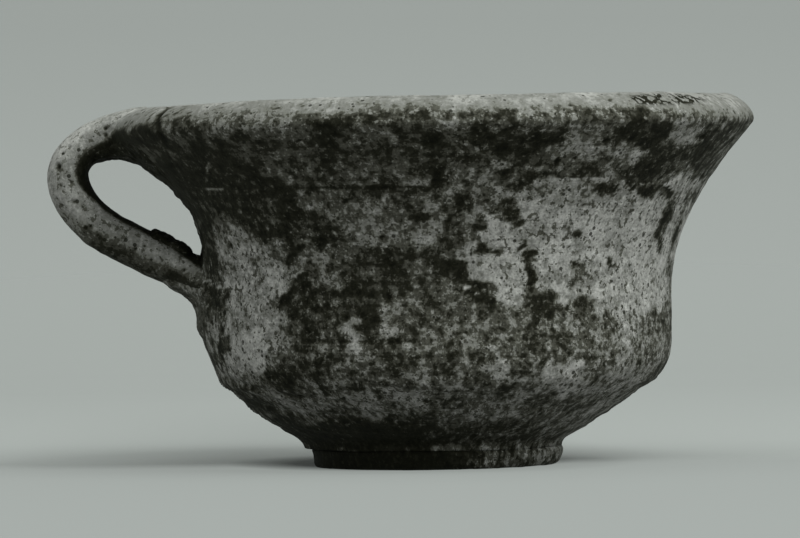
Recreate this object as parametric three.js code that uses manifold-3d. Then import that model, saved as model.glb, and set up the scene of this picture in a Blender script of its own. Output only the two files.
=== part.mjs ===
// Handled bowl: a wheel-thrown earthenware bowl with a flaring lip, a luted disc foot and one strap handle.
// Millimetres, +Z up. The origin is the centre of the foot's underside, and the handle points along -X.
// The pieces are those that the potter joined with slip before firing, so each has a seat on its neighbour.

import * as THREE from "three";
import { mergeVertices } from "three/addons/utils/BufferGeometryUtils.js";
import Module from "manifold-3d";

const wasm = await Module();
wasm.setup();

// Thrown bowl, outside
const RIM_HEIGHT = 87; // top of the lip above the table
const LIP_RADIUS = 75.3; // outermost edge of the lip
const LIP_DROP = 5.8; // from the top of the lip down to its outermost edge
const LIP_INSET = 7.5; // from the outermost edge in to the top of the lip
const LIP_UNDERCUT = 1.8; // height of the small round under the edge
const BELLY_RADIUS = 55.5; // upright middle of the wall
const BELLY_LOW = 30; // where the upright stretch begins
const BELLY_HIGH = 43; // where it turns out into the flare
const SHOULDER_RADIUS = 50.3; // where the sloping lower wall bends up
const SHOULDER_HEIGHT = 18.9;
const ROOT_SPREAD = 5; // width of the small hollow between foot and lower wall
const ROOT_RISE = 4.4; // its height

// Thrown bowl, inside
const FLOOR_THICKNESS = 5.6;
const BELLY_WALL = 5.4;
const LIP_TOP_WIDTH = 1.8; // rounded top of the lip, from its highest line in to the inner face
const LIP_DEPTH = 9.5; // how far the thick lip reaches down the inner face
const RIDGE_PITCH = 11; // throwing ridges that the fingers left inside
const RIDGE_HEIGHT = 0.35;

// Disc foot
const FOOT_RADIUS = 29.8;
const FOOT_HEIGHT = 4.3;
const FOOT_TAPER = 1; // how much narrower the underside is
const FOOT_CHAMFER = 1.1;
const SEAM_INSET = 0.5; // the foot's edge stands this far out of the wall's root

// Strap handle
const STRAP_WIDTH = 14.5;
const STRAP_THICKNESS = 9.9;
const HANDLE_REACH = 15.6; // how far the loop stands out of the lip's edge
const ELBOW_DROP = 18.2; // from the top of the lip down to the outermost point of the loop
const ROOT_DROP = 42.6; // from the top of the lip down to where the lower limb meets the wall
const LIMB_ANGLE = 27; // degrees that the lower limb climbs away from the wall
const LIMB_LENGTH = 21;
const LIP_OVERLAP = 3.3; // how far the strap runs in over the top of the lip
const LIP_SPREAD = 31; // width where it is smeared over the lip
const LIP_SPREAD_LENGTH = 19;
const LIP_END_THICKNESS = 5.6;
const BELLY_SPREAD = 34; // width towards which it spreads as it is pressed on the belly
const BELLY_SPREAD_LENGTH = 18;
const BELLY_END_THICKNESS = 7.9;
const STRAP_SQUARENESS = 2.4; // 2 is an ellipse, and more is a squarer strap

// Luting clay at the handle's two ends
// Each reaches out along the strap, drops down the wall and runs a number of degrees round it to each side.
// Its face is flat from strap to wall with a hollow of 0, and lies in the corner with 1.
const RIM_CLAY = { reach: 9.5, drop: 9, angle: 24, hollow: 0.85 };
const BELLY_CLAY = { reach: 2.6, drop: 10.5, angle: 25, hollow: 0.3 };
const CLAY_TIP = 0.16; // size of both where they run out, as a share of the middle
const CLAY_BURY = 2.5; // how far they reach into their neighbours before they are cut to fit
const CROTCH_PAD_LENGTH = 13.5; // pad in the corner above the lower limb
const CROTCH_PAD_WIDTH = 13;
const CROTCH_PAD_RISE = 1.7;

const JOIN_GAP = 0.3; // the slip between two pieces

// What the potter's hands left. The lip sags most at the handle and a little opposite to it.
const HANDLE_AZIMUTH = 180;
const LIP_SAGS = [
  { azimuth: HANDLE_AZIMUTH, depth: 2.4, spread: 50 },
  { azimuth: 0, depth: 0.6, spread: 28 },
];
const SAG_LENGTH = 28; // down from the top of the lip, where the sag fades out
const HANDLE_ROOT_HEIGHT = RIM_HEIGHT - ROOT_DROP;
// The wall is pushed in above and below the handle's root, and bulges over the foot on that side.
const PRESSES = [
  { azimuth: HANDLE_AZIMUTH, height: HANDLE_ROOT_HEIGHT + 16, depth: 4.3, spread: 24, rise: 9.5 },
  { azimuth: HANDLE_AZIMUTH, height: SHOULDER_HEIGHT + 5, depth: 2, spread: 34, rise: 5.5 },
  { azimuth: HANDLE_AZIMUTH, height: SHOULDER_HEIGHT - 10.5, depth: -2.5, spread: 40, rise: 7.5 },
];

// Facets
const AROUND = 72;
const STRAP_SIDES = 24;
const STRAP_STEPS = 33;
const CLAY_STEPS = 14;
const COVE_STEPS = 7;
const PAD_SIDES = 16;

const radians = THREE.MathUtils.degToRad;
const { lerp, smoothstep } = THREE.MathUtils;
const point = (x, y) => new THREE.Vector2(x, y);
const place = (x, y, z) => new THREE.Vector3(x, y, z);
const bell = (distance, spread) => Math.exp(-((distance / spread) ** 2));
const UP = place(0, 0, 1);
const ACROSS = place(0, 1, 0); // the handle lies in the XZ plane, so this is the width of its strap

// How far an azimuth lies from another, in degrees, whichever way round is shorter.
function turnBetween(a, b) {
  const turn = Math.abs(a - b) % 360;
  return Math.min(turn, 360 - turn);
}

// Where the potter's hands left a point of the true turned shape.
function press(radius, azimuth, height) {
  let r = radius;
  for (const p of PRESSES) {
    r -= p.depth * bell(turnBetween(azimuth, p.azimuth), p.spread) * bell(height - p.height, p.rise);
  }
  let sag = 0;
  for (const s of LIP_SAGS) sag += s.depth * bell(turnBetween(azimuth, s.azimuth), s.spread);
  return { radius: r, height: height - sag * smoothstep(height, RIM_HEIGHT - SAG_LENGTH, RIM_HEIGHT) };
}

function pressGeometry(geometry) {
  const at = geometry.attributes.position;
  for (let i = 0; i < at.count; i++) {
    const angle = Math.atan2(at.getY(i), at.getX(i));
    const p = press(Math.hypot(at.getX(i), at.getY(i)), THREE.MathUtils.radToDeg(angle), at.getZ(i));
    at.setXYZ(i, p.radius * Math.cos(angle), p.radius * Math.sin(angle), p.height);
  }
  return geometry;
}

const ridge = point(LIP_RADIUS - LIP_INSET, RIM_HEIGHT);
const edge = point(LIP_RADIUS, RIM_HEIGHT - LIP_DROP);
const underEdge = point(edge.x - LIP_UNDERCUT / 2, edge.y - LIP_UNDERCUT);
const wallRoot = point(FOOT_RADIUS - SEAM_INSET, FOOT_HEIGHT + JOIN_GAP);

// Points along a chain of curves, each given with its number of steps.
function sample(curves) {
  const points = [curves[0][0].getPoint(0)];
  for (const [curve, steps] of curves) points.push(...curve.getPoints(steps).slice(1));
  return points;
}

// The outside of the wall, from its root on the foot up to the top of the lip.
function outerOutline() {
  const hollowEnd = point(wallRoot.x + ROOT_SPREAD, wallRoot.y + ROOT_RISE);
  const shoulder = point(SHOULDER_RADIUS, SHOULDER_HEIGHT);
  const bellyLow = point(BELLY_RADIUS, BELLY_LOW);
  const bellyHigh = point(BELLY_RADIUS, BELLY_HIGH);
  const slope = shoulder.clone().sub(hollowEnd).normalize();
  const flare = underEdge.clone().sub(bellyHigh);
  const hollow = new THREE.CubicBezierCurve(
    wallRoot,
    point(wallRoot.x, wallRoot.y + ROOT_RISE / 2),
    hollowEnd.clone().addScaledVector(slope, -ROOT_SPREAD / 2),
    hollowEnd,
  );
  const carination = new THREE.CubicBezierCurve(
    shoulder,
    shoulder.clone().addScaledVector(slope, (BELLY_LOW - SHOULDER_HEIGHT) * 0.38),
    point(BELLY_RADIUS, lerp(BELLY_LOW, SHOULDER_HEIGHT, 0.45)),
    bellyLow,
  );
  const neck = new THREE.CubicBezierCurve(
    bellyHigh,
    point(bellyHigh.x + flare.x * 0.06, bellyHigh.y + flare.y * 0.36),
    point(underEdge.x - flare.x * 0.45, underEdge.y - flare.y * 0.29),
    underEdge,
  );
  const round = new THREE.CubicBezierCurve(
    underEdge,
    point(underEdge.x + LIP_UNDERCUT * 0.3, underEdge.y + LIP_UNDERCUT * 0.33),
    point(edge.x, edge.y - LIP_UNDERCUT * 0.45),
    edge,
  );
  const bevel = new THREE.CubicBezierCurve(
    edge,
    point(edge.x - LIP_INSET * 0.05, edge.y + LIP_DROP * 0.48),
    point(ridge.x + LIP_INSET * 0.45, ridge.y),
    ridge,
  );
  return sample([
    [hollow, 4],
    [new THREE.LineCurve(hollowEnd, shoulder), 2],
    [carination, 6],
    [new THREE.LineCurve(bellyLow, bellyHigh), 1],
    [neck, 8],
    [round, 2],
    [bevel, 6],
  ]);
}

// An outline moved along its own normals, to the right of its direction.
function offsetOutline(points, distanceAt) {
  return points.map((p, i) => {
    const before = points[Math.max(i - 1, 0)];
    const along = points[Math.min(i + 1, points.length - 1)].clone().sub(before).normalize();
    return point(p.x + along.y * distanceAt(i), p.y - along.x * distanceAt(i));
  });
}

// The inside of the bowl, from the top of the lip down to the middle of the floor, with its throwing ridges.
function innerOutline() {
  const floorTop = wallRoot.y + FLOOR_THICKNESS;
  const lipInside = point(ridge.x - LIP_TOP_WIDTH, ridge.y - LIP_TOP_WIDTH);
  const bellyTop = point(BELLY_RADIUS - BELLY_WALL, BELLY_HIGH);
  const bellyEnd = point(bellyTop.x, BELLY_LOW + BELLY_WALL);
  const lipRound = new THREE.QuadraticBezierCurve(ridge, point(lipInside.x, ridge.y), lipInside);
  const wall = new THREE.CurvePath();
  wall.add(new THREE.CubicBezierCurve(
    lipInside,
    point(lipInside.x, lipInside.y - LIP_DEPTH),
    point(bellyTop.x + 1, lerp(bellyTop.y, lipInside.y, 0.4)),
    bellyTop,
  ));
  wall.add(new THREE.LineCurve(bellyTop, bellyEnd));
  wall.add(new THREE.CubicBezierCurve(
    bellyEnd,
    point(bellyEnd.x, lerp(bellyEnd.y, floorTop, 0.7)),
    point(bellyEnd.x * 0.6, floorTop),
    point(0, floorTop),
  ));
  const length = wall.getLength();
  const steps = Math.round((4 * length) / RIDGE_PITCH);
  const ridged = offsetOutline(wall.getSpacedPoints(steps), (i) => {
    const gone = (i / steps) * length;
    const fade = Math.min(1, gone / RIDGE_PITCH, (length - gone) / RIDGE_PITCH);
    return RIDGE_HEIGHT * fade * Math.cos((2 * Math.PI * gone) / RIDGE_PITCH);
  });
  ridged[ridged.length - 1].set(0, floorTop);
  return [...lipRound.getPoints(3), ...ridged.slice(1)];
}

const outer = outerOutline();

// The true turned radius of the outside at a height.
function wallRadiusAt(height) {
  const i = outer.findIndex((p) => p.y >= height);
  if (i < 1) return outer[0].x;
  return lerp(outer[i - 1].x, outer[i].x, (height - outer[i - 1].y) / (outer[i].y - outer[i - 1].y));
}

const outwardAt = (azimuth) => place(Math.cos(radians(azimuth)), Math.sin(radians(azimuth)), 0);

// A point of the finished outside at a height, found from the height that it was turned at.
function onWall(azimuth, height) {
  let turnedHeight = height;
  for (let i = 0; i < 4; i++) turnedHeight += height - press(0, azimuth, turnedHeight).height;
  const { radius } = press(wallRadiusAt(turnedHeight), azimuth, turnedHeight);
  return outwardAt(azimuth).multiplyScalar(radius).setZ(height);
}

// A body turned about +Z from an outline that starts and ends on the axis.
function turned(outline) {
  return new THREE.LatheGeometry(outline, AROUND).rotateX(Math.PI / 2);
}

// A closed body through rings that have the same number of points.
function loft(rings) {
  const sides = rings[0].length;
  const index = [];
  for (let i = 0; i + 1 < rings.length; i++) {
    for (let j = 0; j < sides; j++) {
      const a = i * sides + j;
      const b = i * sides + ((j + 1) % sides);
      index.push(a, b, b + sides, a, b + sides, a + sides);
    }
  }
  const last = (rings.length - 1) * sides;
  for (let j = 1; j + 1 < sides; j++) {
    index.push(0, j + 1, j);
    index.push(last, last + j, last + j + 1);
  }
  const geometry = new THREE.BufferGeometry();
  const positions = rings.flat().flatMap((p) => p.toArray());
  geometry.setAttribute("position", new THREE.Float32BufferAttribute(positions, 3));
  geometry.setIndex(index);
  return geometry;
}

// One rounded section of a strap: a superellipse about a centre, with its two half axes as vectors.
function strapSection(centre, halfWidth, halfThickness, sides) {
  const power = (value) => Math.sign(value) * Math.abs(value) ** (2 / STRAP_SQUARENESS);
  return Array.from({ length: sides }, (_, i) => {
    const angle = (2 * Math.PI * i) / sides;
    return centre
      .clone()
      .addScaledVector(halfWidth, power(Math.cos(angle)))
      .addScaledVector(halfThickness, power(Math.sin(angle)));
  });
}

// The outward normal of a curve in the XZ plane, on the side away from the bowl.
const outwardOf = (curve, share) => ACROSS.clone().cross(curve.getTangentAt(share)).normalize();

// A strap of clay along a curve in the XZ plane. sizeAt gives its width and thickness at a length along it.
function strap(curve, sizeAt, steps, sides, grow = 0) {
  const length = curve.getLength();
  const rings = [];
  for (let i = 0; i <= steps; i++) {
    const { width, thickness } = sizeAt((i / steps) * length, length);
    const halfWidth = ACROSS.clone().multiplyScalar(-width / 2 - grow);
    const halfThickness = outwardOf(curve, i / steps).multiplyScalar(thickness / 2 + grow);
    rings.push(strapSection(curve.getPointAt(i / steps), halfWidth, halfThickness, sides));
  }
  return loft(rings);
}

const limbUp = place(-Math.cos(radians(LIMB_ANGLE)), 0, Math.sin(radians(LIMB_ANGLE)));
const handleRoot = place(-wallRadiusAt(HANDLE_ROOT_HEIGHT), 0, HANDLE_ROOT_HEIGHT);

// The middle line of the handle, from the top of the lip round the loop and into the belly.
function handleCurve() {
  const lipTop = press(ridge.x, HANDLE_AZIMUTH, RIM_HEIGHT);
  const start = place(LIP_OVERLAP - lipTop.radius, 0, lipTop.height - LIP_END_THICKNESS / 2);
  const elbow = place(-(LIP_RADIUS + HANDLE_REACH - STRAP_THICKNESS / 2), 0, RIM_HEIGHT - ELBOW_DROP);
  const limbTop = handleRoot.clone().addScaledVector(limbUp, LIMB_LENGTH);
  const curve = new THREE.CurvePath();
  curve.add(new THREE.CubicBezierCurve3(
    start,
    start.clone().lerp(place(elbow.x, 0, start.z - 3), 0.53),
    elbow.clone().lerp(place(elbow.x, 0, start.z), 0.52),
    elbow,
  ));
  curve.add(new THREE.CubicBezierCurve3(
    elbow,
    elbow.clone().lerp(place(elbow.x, 0, limbTop.z), 0.42),
    limbTop.clone().addScaledVector(limbUp, LIMB_LENGTH * 0.3),
    limbTop,
  ));
  curve.add(new THREE.LineCurve3(limbTop, handleRoot.clone().addScaledVector(limbUp, -BELLY_WALL)));
  return curve;
}

// The strap spreads and thins towards both ends, where it is smeared on.
function handleSize(gone, length) {
  const lipShare = Math.max(0, 1 - gone / LIP_SPREAD_LENGTH) ** 2;
  const bellyShare = Math.max(0, 1 - (length - gone) / BELLY_SPREAD_LENGTH) ** 2;
  return {
    width: STRAP_WIDTH + (LIP_SPREAD - STRAP_WIDTH) * lipShare + (BELLY_SPREAD - STRAP_WIDTH) * bellyShare,
    thickness: STRAP_THICKNESS
      + (LIP_END_THICKNESS - STRAP_THICKNESS) * lipShare
      + (BELLY_END_THICKNESS - STRAP_THICKNESS) * bellyShare,
  };
}

const handleLine = handleCurve();
const handleLength = handleLine.getLength();
const handleGeometry = (grow) => strap(handleLine, handleSize, STRAP_STEPS, STRAP_SIDES, grow);

// A point on the strap's face at a length along it: side -1 faces the bowl, and 1 faces away.
function strapFace(gone, side) {
  const share = gone / handleLength;
  const reach = (side * handleSize(gone, handleLength).thickness) / 2;
  return handleLine.getPointAt(share).addScaledVector(outwardOf(handleLine, share), reach);
}

// The length along the strap at which one of its faces meets the outside of the wall, between two lengths.
function meetsWall(side, from, to) {
  let [outside, inside] = [from, to];
  for (let i = 0; i < 30; i++) {
    const middle = (outside + inside) / 2;
    const p = strapFace(middle, side);
    if (p.x < onWall(HANDLE_AZIMUTH, p.z).x) outside = middle;
    else inside = middle;
  }
  return outside;
}

// A hollow fillet of clay in the corner under the strap, bent round the wall and thinning to each side.
function coveGeometry(cornerAt, outEnd, { drop, angle, hollow }) {
  const corner = strapFace(cornerAt, outEnd.side);
  const out = strapFace(outEnd.gone, outEnd.side).sub(corner);
  const rings = [];
  for (let i = 0; i <= CLAY_STEPS; i++) {
    const share = (2 * i) / CLAY_STEPS - 1;
    const azimuth = HANDLE_AZIMUTH + share * angle;
    const scale = lerp(CLAY_TIP, 1, Math.cos((share * Math.PI) / 2) ** 2);
    const top = onWall(azimuth, corner.z);
    const outer = top.clone().addScaledVector(outwardAt(azimuth), -out.x * scale);
    outer.z += out.z * scale;
    const low = onWall(azimuth, corner.z - drop * scale);
    const middle = outer.clone().lerp(low, 0.5).lerp(top, hollow);
    const face = new THREE.QuadraticBezierCurve3(outer, middle, low).getPoints(COVE_STEPS);
    const inward = outwardAt(azimuth).multiplyScalar(-CLAY_BURY * scale);
    const above = UP.clone().multiplyScalar(CLAY_BURY * scale);
    rings.push([
      outer.clone().add(above),
      ...face,
      low.clone().add(inward),
      top.clone().add(inward).add(above),
    ]);
  }
  return loft(rings);
}

function rimClayGeometry() {
  const cornerAt = meetsWall(-1, LIP_SPREAD_LENGTH, 0);
  return coveGeometry(cornerAt, { gone: cornerAt + RIM_CLAY.reach, side: -1 }, RIM_CLAY);
}

function bellyClayGeometry() {
  const cornerAt = meetsWall(1, handleLength - BELLY_SPREAD_LENGTH, handleLength);
  return coveGeometry(cornerAt, { gone: cornerAt - BELLY_CLAY.reach, side: 1 }, BELLY_CLAY);
}

// A pad pressed on the inner face of the lower limb where it meets the wall.
function crotchPadGeometry() {
  const wallEnd = meetsWall(-1, handleLength - BELLY_SPREAD_LENGTH, handleLength);
  const start = strapFace(wallEnd - CROTCH_PAD_LENGTH, -1);
  const end = strapFace(wallEnd, -1).addScaledVector(limbUp, -CLAY_BURY);
  const sizeAt = (gone, length) => {
    const swell = Math.min(1, 0.45 + (2 * gone) / length);
    return { width: CROTCH_PAD_WIDTH * swell, thickness: 2 * CROTCH_PAD_RISE * swell };
  };
  return strap(new THREE.LineCurve3(start, end), sizeAt, CLAY_STEPS, PAD_SIDES);
}

// A closed three.js geometry as a solid for joining and cutting, and back.
function solid(geometry) {
  const bare = geometry.toNonIndexed();
  bare.deleteAttribute("normal");
  bare.deleteAttribute("uv");
  const merged = mergeVertices(bare, 1e-3);
  return new wasm.Manifold(new wasm.Mesh({
    numProp: 3,
    vertProperties: merged.attributes.position.array,
    triVerts: new Uint32Array(merged.index.array),
  }));
}

function geometryOf(manifold) {
  const { vertProperties, triVerts, numProp } = manifold.getMesh();
  const count = vertProperties.length / numProp;
  const positions = new Float32Array(count * 3);
  for (let i = 0; i < count; i++) {
    positions.set(vertProperties.subarray(i * numProp, i * numProp + 3), i * 3);
  }
  const geometry = new THREE.BufferGeometry();
  geometry.setAttribute("position", new THREE.BufferAttribute(positions, 3));
  geometry.setIndex(new THREE.BufferAttribute(triVerts, 1));
  geometry.computeVertexNormals();
  return geometry;
}

const onAxis = (height) => point(0, height);
const bowlGeometry = pressGeometry(turned([onAxis(wallRoot.y), ...outer, ...innerOutline().slice(1)]));

// The space that the bowl fills, with its hollow and its joint gap, which every luted piece is cut back from.
const bowlSeat = solid(pressGeometry(turned([
  onAxis(0),
  point(outer[0].x, 0),
  ...offsetOutline(outer, () => JOIN_GAP),
  onAxis(RIM_HEIGHT + JOIN_GAP),
])));
const handleSeat = solid(handleGeometry(JOIN_GAP));
const seated = (geometry) => geometryOf(solid(geometry).subtract(bowlSeat).subtract(handleSeat));

const footGeometry = turned([
  onAxis(0),
  point(FOOT_RADIUS - FOOT_TAPER - FOOT_CHAMFER, 0),
  point(FOOT_RADIUS - FOOT_TAPER, FOOT_CHAMFER),
  point(FOOT_RADIUS, FOOT_HEIGHT - FOOT_CHAMFER),
  point(FOOT_RADIUS - SEAM_INSET / 2, FOOT_HEIGHT - SEAM_INSET / 2),
  point(FOOT_RADIUS - SEAM_INSET, FOOT_HEIGHT),
  onAxis(FOOT_HEIGHT),
]);

const slippedClay = new THREE.MeshStandardMaterial({ color: 0x5b5b56, roughness: 0.85, metalness: 0 });
const wornClay = new THREE.MeshStandardMaterial({ color: 0x8d8f8a, roughness: 0.9, metalness: 0 });
const darkClay = new THREE.MeshStandardMaterial({ color: 0x3a3a36, roughness: 0.9, metalness: 0 });

const handledBowl = new THREE.Group();
function add(name, geometry, material) {
  const mesh = new THREE.Mesh(geometry, material);
  mesh.name = name;
  handledBowl.add(mesh);
}

add("thrown_bowl", bowlGeometry, slippedClay);
add("disc_foot", footGeometry, darkClay);
add("strap_handle", geometryOf(solid(handleGeometry(0)).subtract(bowlSeat)), wornClay);
add("rim_luting_clay", seated(rimClayGeometry()), darkClay);
add("belly_luting_clay", seated(bellyClayGeometry()), slippedClay);
add("crotch_clay_pad", seated(crotchPadGeometry()), darkClay);

export default handledBowl;
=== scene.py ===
import functools
import math

import bmesh
import bpy
import numpy as np
from mathutils import Matrix, Vector, noise
from mathutils.geometry import interpolate_bezier


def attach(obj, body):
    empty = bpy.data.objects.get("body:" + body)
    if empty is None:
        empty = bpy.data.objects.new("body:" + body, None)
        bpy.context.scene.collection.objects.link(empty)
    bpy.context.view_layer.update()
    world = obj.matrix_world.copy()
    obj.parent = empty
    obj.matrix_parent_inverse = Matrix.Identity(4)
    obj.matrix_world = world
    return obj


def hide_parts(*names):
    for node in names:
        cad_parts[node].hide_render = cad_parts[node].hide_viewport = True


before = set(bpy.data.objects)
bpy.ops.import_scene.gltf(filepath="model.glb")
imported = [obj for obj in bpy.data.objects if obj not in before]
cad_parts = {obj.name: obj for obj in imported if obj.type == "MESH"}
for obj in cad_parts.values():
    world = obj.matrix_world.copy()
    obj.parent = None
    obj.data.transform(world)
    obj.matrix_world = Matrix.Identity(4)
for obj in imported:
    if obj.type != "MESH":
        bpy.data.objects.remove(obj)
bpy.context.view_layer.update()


# The view. A long lens looks at the bowl from the side, a little above its lip, with the handle on the left. The camera
# is turned by less than a degree, because the bowl in the photograph isn't quite level.
IMAGE_WIDTH = 800  # pixels
FOCAL_LENGTH = 8508  # in pixels of that image
CAMERA_ROLL = -0.75  # degrees
MIDDLE_OF_VIEW = -0.008211  # metres from the bowl's axis, towards the handle


def facing_from(place, target):
    """Where a camera or lamp stands, and its turn towards a point."""
    turn = (Vector(target) - Vector(place)).to_track_quat("-Z", "Y")
    return Matrix.Translation(place) @ turn.to_matrix().to_4x4()


lens = bpy.data.cameras.new("long_lens")
lens.sensor_width = 36
lens.lens = FOCAL_LENGTH * lens.sensor_width / IMAGE_WIDTH
camera = bpy.data.objects.new("long_lens", lens)
stand = (MIDDLE_OF_VIEW, -2.0, 0.088)
aim = (MIDDLE_OF_VIEW, 0, 0.0462)
camera.matrix_world = facing_from(stand, aim) @ Matrix.Rotation(math.radians(CAMERA_ROLL), 4, "Z")
bpy.context.scene.collection.objects.link(camera)
bpy.context.scene.camera = camera
bpy.context.scene.view_settings.view_transform = "Standard"


# The table and what is behind it: one sheet of pale matt paper that sweeps up behind the bowl. Paper scatters light
# evenly, so it shows the bowl's soft shadow, and near the bowl its glow adds painted shadow behind the bowl and under
# the foot, and painted light in front of it. Away from the bowl the eye sees an even pale tone in its place, so that
# the sheet hides the bowl from no side, while its light on the bowl stays.
def linear(hex_colour):
    parts = [int(hex_colour[i:i + 2], 16) / 255 for i in (1, 3, 5)]
    return [c / 12.92 if c <= 0.04045 else ((c + 0.055) / 1.055) ** 2.4 for c in parts] + [1.0]


def add_node(tree, kind, inputs=None, output=0, **settings):
    """Adds a node with its settings and links, and gives back one of its outputs.

    A socket is given by its name or its number. A MapRange node reads its value from 1 to 2 and gives it from 3 to 4.
    A Mix node goes from 2 to 3 for numbers, and from 6 to 7 for colours.
    """
    node = tree.nodes.new("ShaderNode" + kind)
    for name, value in settings.items():
        setattr(node, name, value)
    for name, value in (inputs or {}).items():
        if isinstance(value, bpy.types.NodeSocket):
            tree.links.new(value, node.inputs[name])
        else:
            node.inputs[name].default_value = value
    return node.outputs[output] if node.outputs else node


def new_material(name):
    material = bpy.data.materials.new(name)
    material.use_nodes = True
    material.node_tree.nodes.clear()
    return material, material.node_tree


def to_object(name, shape):
    """A smooth piece of the scene from a finished shape."""
    mesh = bpy.data.meshes.new(name)
    shape.to_mesh(mesh)
    shape.free()
    mesh.shade_smooth()
    piece = bpy.data.objects.new(name, mesh)
    bpy.context.scene.collection.objects.link(piece)
    return piece


SHEET_WIDTH = 6
SHEET_FRONT, SHEET_TOP = -1.9, 2.5
bend = [Vector((-SHEET_WIDTH / 2, back, up)) for back, up in ((0.5, 0), (0.9, 0), (1.1, 0.2), (1.1, 0.6))]
sweep = [Vector((-SHEET_WIDTH / 2, SHEET_FRONT, 0)), bend[0]]
sweep += interpolate_bezier(*bend, 16)[1:]
sweep.append(Vector((-SHEET_WIDTH / 2, bend[-1].y, SHEET_TOP)))
sheet = bmesh.new()
rail = [sheet.verts.new(p) for p in sweep]
rails = [sheet.edges.new(pair) for pair in zip(rail, rail[1:])]
made = bmesh.ops.extrude_edge_only(sheet, edges=rails)
far_rail = [v for v in made["geom"] if isinstance(v, bmesh.types.BMVert)]
bmesh.ops.translate(sheet, verts=far_rail, vec=(SHEET_WIDTH, 0, 0))
bmesh.ops.recalc_face_normals(sheet, faces=sheet.faces)
paper_sweep = to_object("paper_sweep", sheet)
paper, tree = new_material("matt_paper")


def seen_directly(tree):
    """1 for what the eye sees, itself or mirrored, and 0 for what lights the bowl."""
    rays = add_node(tree, "LightPath").node.outputs
    either = add_node(tree, "Math", {0: rays["Is Camera Ray"], 1: rays["Is Glossy Ray"]}, operation="MAXIMUM")
    return add_node(tree, "Math", {0: either, 1: rays["Is Transmission Ray"]}, operation="MAXIMUM")


node = functools.partial(add_node, tree)
ground = node("TexCoord", output="Object")
across, back, _ = node("SeparateXYZ", {0: ground}).node.outputs
sideways = node("Math", {0: across}, operation="ABSOLUTE")
reach = node("VectorMath", {0: ground}, "Value", operation="LENGTH")
# A slight glow stands in for the light that comes back from the room. Behind the bowl it is strongest at both sides and
# far back. Close behind the bowl it is weak, and the weak band reaches farther back on the left: painted shadow that
# deepens the bowl's shadow there.
left_glow = node("MapRange", {0: across, 1: -0.105, 2: -0.045, 3: 0.44, 4: 0.27})
right_glow = node("MapRange", {0: across, 1: 0.025, 2: 0.055, 3: 0.24, 4: 0.39})
side_glow = node("Math", {0: left_glow, 1: right_glow}, operation="MAXIMUM")
shadow_end = node("MapRange", {0: across, 1: -0.03, 2: 0.04, 3: 0.4, 4: 0.12})
rear_glow = node("MapRange", {0: back, 1: 0.05, 2: shadow_end, 3: side_glow, 4: 0.44})
# In front of the bowl the sheet is evenly bright: painted light that hides the bowl's shadow there.
near_front = node("MapRange", {0: reach, 1: 0.35, 2: 0.6, 3: 1.0, 4: 0.0})
between_sides = node("MapRange", {0: sideways, 1: 0.11, 2: 0.25, 3: near_front, 4: 0.0})
in_front = node("MapRange", {0: back, 1: 0.024, 2: -0.003, 3: 0.0, 4: between_sides})
glow_strength = node("Mix", {"Factor": in_front, 2: rear_glow, 3: 0.72})
# Under the foot and close round it most of the glow is taken away, a painted contact shadow. The dark place is an
# oval, a little wider than the foot.
PAINTED_SHADOW_MIDDLE, PAINTED_SHADOW_REACH = (-0.008, 0.02, 0), (0.042, 0.05, 1)
from_foot = node("VectorMath", {0: ground, 1: PAINTED_SHADOW_MIDDLE}, operation="SUBTRACT")
from_foot = node("VectorMath", {0: from_foot, 1: PAINTED_SHADOW_REACH}, operation="DIVIDE")
from_foot = node("VectorMath", {0: from_foot}, "Value", operation="LENGTH")
outside_painted_shadow = node("MapRange", {0: from_foot, 1: 0.62, 2: 1.0, 3: 0.15, 4: 1.0})
glow_strength = node("Math", {0: glow_strength, 1: outside_painted_shadow}, operation="MULTIPLY")
# The fibres are mid grey, and darker in front, where the glow makes up for it, so the bowl's shadow shows less there.
fibre_tone = node("Mix", {"Factor": in_front, 6: linear("#979d99"), 7: linear("#646866")}, 2, data_type="RGBA")
fibre = node("BsdfDiffuse", {"Color": fibre_tone})
glow = node("Emission", {"Color": linear("#a6aca8"), "Strength": glow_strength})
lit = node("AddShader", {0: fibre, 1: glow})
faded = node("MapRange", {0: reach, 1: 0.5, 2: 1.0})
near = node("MixShader", {0: faded, 1: lit, 2: node("BsdfTransparent")})
# What lights the bowl is a plain grey sheet, whole and without glow.
dim_fibre = node("BsdfDiffuse", {"Color": linear("#959595")})
surface = node("MixShader", {0: seen_directly(tree), 1: dim_fibre, 2: near})
node("OutputMaterial", {"Surface": surface})
paper_sweep.data.materials.append(paper)


# The light. A soft window above and to the right gives most of it, with a lower one farther right, a weak fill from the
# front and the ceiling above. The air adds an even light, and shows the eye the same pale tone as the sheet.
BOWL_MIDDLE = (0, 0, 0.04)


def soft_lamp(name, place, size, watts):
    light = bpy.data.lights.new(name, "AREA")
    light.shape = "SQUARE"
    light.size = size
    light.energy = watts
    lamp = bpy.data.objects.new(name, light)
    lamp.matrix_world = facing_from(place, BOWL_MIDDLE)
    bpy.context.scene.collection.objects.link(lamp)


soft_lamp("window_above_right", (0.7, -0.7, 1.45), size=0.9, watts=12.6)
soft_lamp("low_window_right", (1.3, -1.0, 0.7), size=0.8, watts=3.0)
soft_lamp("front_fill", (0.2, -1.7, 0.9), size=0.9, watts=1.7)
soft_lamp("ceiling", (0, 0.01, 1.6), size=1.0, watts=2.3)
world = bpy.data.worlds.new("studio_air")
world.use_nodes = True
tree = world.node_tree
tree.nodes.clear()
node = functools.partial(add_node, tree)
air = node("Background", {"Color": linear("#ffffff"), "Strength": 0.48})
upward = node("SeparateXYZ", {0: node("TexCoord", output="Generated")}, "Z")
paleness = node("MapRange", {0: upward, 1: -0.024, 2: 0.008, 3: 1.0, 4: 0.86})
pale = node("Background", {"Color": linear("#a4aaa6"), "Strength": paleness})
shown = node("MixShader", {0: seen_directly(tree), 1: air, 2: pale})
node("OutputWorld", {"Surface": shown})
bpy.context.scene.world = world


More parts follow.
